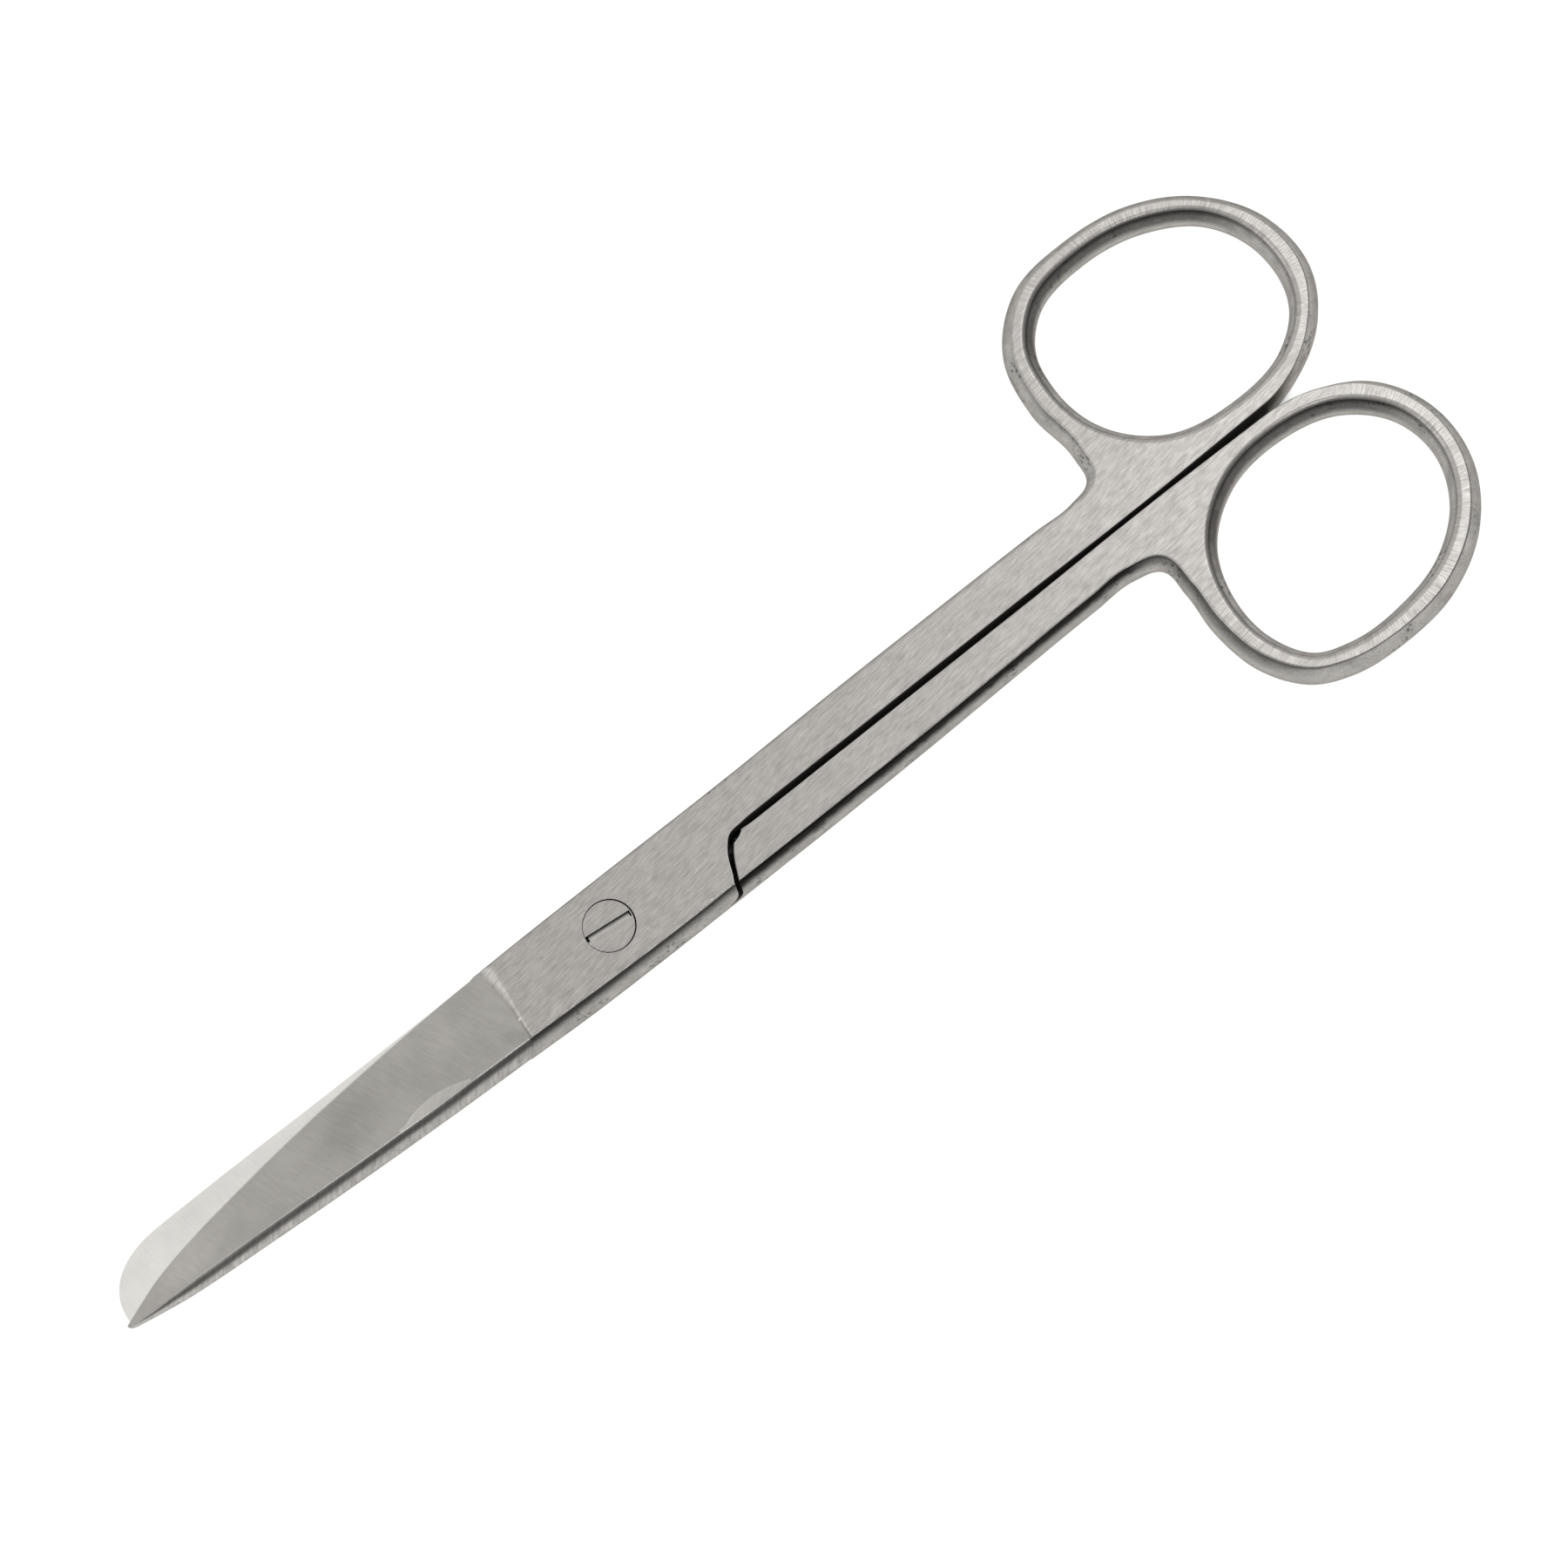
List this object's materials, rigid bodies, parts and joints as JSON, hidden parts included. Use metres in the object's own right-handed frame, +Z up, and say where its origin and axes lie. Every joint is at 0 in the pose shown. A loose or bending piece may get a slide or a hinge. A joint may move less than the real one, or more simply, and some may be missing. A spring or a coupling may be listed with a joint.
{
  "type": "operating scissors",
  "caption": "Straight surgical scissors with one sharp and one blunt blade tip, two finger rings and a slotted pivot screw in a lap joint",
  "frame": {"origin": "on the screw's axis, in the plane of the flat underside that the closed scissors lie on", "axes": "X along the scissors from the blade tips to the finger rings, Y across them towards the ring of the sharp-pointed half, Z up out of the slotted side"},
  "size_m": [0.1401, 0.0474, 0.0048],
  "materials": {
    "sharp_half_steel": "satin",
    "blunt_half_steel": "satin",
    "screw_steel": "satin"
  },
  "bodies": {
    "lower_half": {"blunt_half": "blunt_half_steel", "pivot_screw": "screw_steel"},
    "upper_half": {"sharp_half": "sharp_half_steel"}
  },
  "joints": [
    {"name": "pivot", "type": "hinge", "parent": "lower_half", "child": "upper_half", "pos_m": [0, 0, 0.0024], "axis": [0, 0, 1], "range_deg": [0, 130]}
  ]
}
